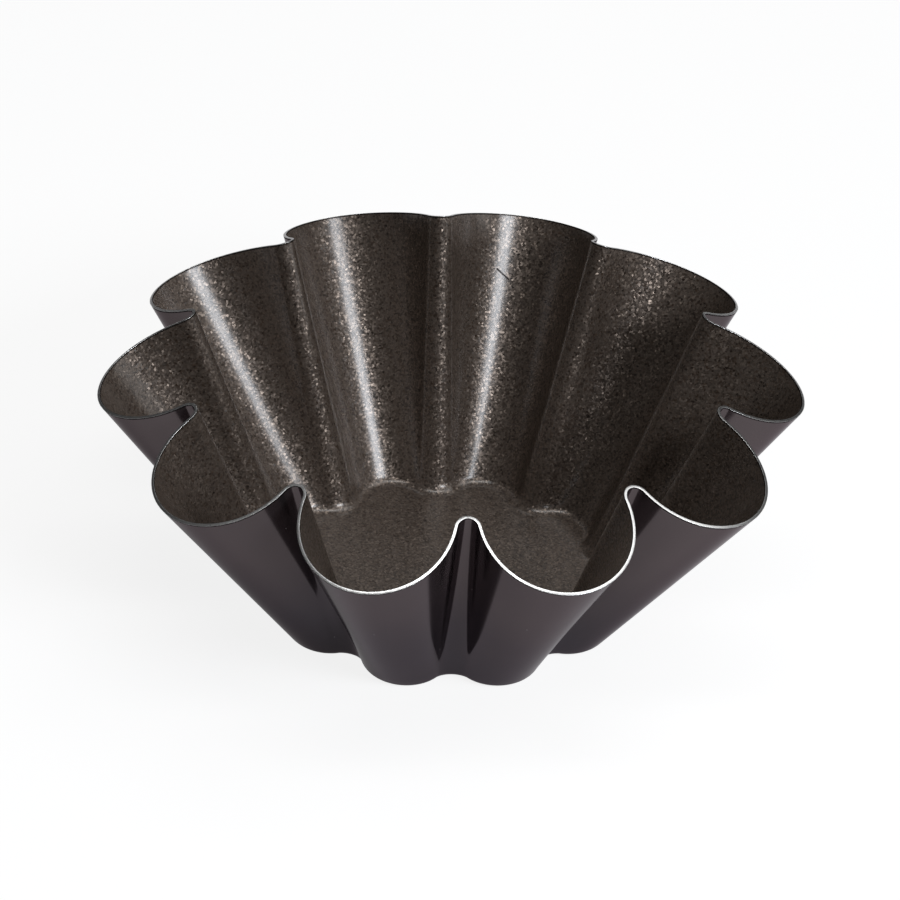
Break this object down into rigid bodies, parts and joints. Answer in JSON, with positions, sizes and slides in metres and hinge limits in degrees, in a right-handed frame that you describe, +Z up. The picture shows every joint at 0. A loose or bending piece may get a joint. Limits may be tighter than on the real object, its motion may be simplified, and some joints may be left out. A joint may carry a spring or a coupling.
{
  "type": "fluted brioche mould",
  "caption": "Flared round baking mould with deep rounded flutes, a flat fluted base, a non-stick coat inside, lacquer outside and a bare trimmed rim.",
  "frame": {"origin": "on the mould's axis, at the underside of the flat base it rests on", "axes": "+Z up along the axis; a flute crown points along +X, so a valley between two flutes points along -Y"},
  "size_m": [0.2, 0.1922, 0.0773],
  "materials": {
    "bare_steel": "bright sheared edge of the sheet",
    "nonstick_coat": "dark brown-black baked coat with a fine orange-peel texture and metallic speckle",
    "lacquer_coat": "smooth satin aubergine-grey baked lacquer"
  },
  "bodies": {
    "root": {"steel_shell": "bare_steel", "nonstick_lining": "nonstick_coat", "wall_lacquer": "lacquer_coat", "base_lacquer": "lacquer_coat"}
  },
  "joints": []
}
